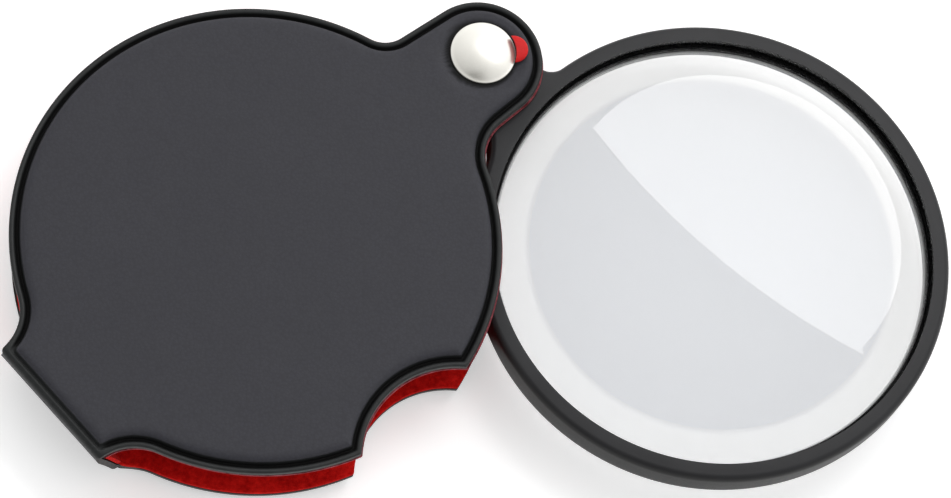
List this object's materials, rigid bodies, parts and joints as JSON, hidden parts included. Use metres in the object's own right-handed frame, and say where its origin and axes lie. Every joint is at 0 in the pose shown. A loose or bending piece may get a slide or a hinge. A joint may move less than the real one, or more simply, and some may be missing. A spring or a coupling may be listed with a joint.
{
  "type": "folding pocket magnifier",
  "caption": "Hand lens in a folded leatherette case: a framed double-convex glass lens swings out on a rivet from between two padded leaves.",
  "frame": {"origin": "middle of the whole magnifier's footprint with the lens swung out, on the plane that its lowest point, the rear rivet cap, touches", "axes": "+X along the open magnifier from the case to the lens, +Y across it towards the rivet ear, +Z out of the front leaf"},
  "size_m": [0.1273, 0.0682, 0.014],
  "materials": {
    "leatherette": "black fine-grained leatherette, satin",
    "red_flock": "matt red flocked lining",
    "card": "raw grey board",
    "nickel": "polished warm nickel plate",
    "black_plastic": "moulded black plastic, satin",
    "lens_glass": "clear polished optical glass"
  },
  "bodies": {
    "case": {"case_cover": "leatherette", "case_lining": "red_flock", "front_board": "card", "rear_board": "card", "rivet_front_cap": "nickel", "rivet_rear_cap": "nickel", "rivet_socket": "nickel", "rivet_post": "nickel", "lining_nub": "red_flock"},
    "lens_unit": {"lens_frame": "black_plastic", "lens_retaining_ring": "black_plastic", "lens": "lens_glass"}
  },
  "joints": [
    {"name": "lens_swivel", "type": "hinge", "parent": "case", "child": "lens_unit", "pos_m": [-0.00083, 0.02632, 0.007], "axis": [0, 0, -1], "continuous": true}
  ]
}
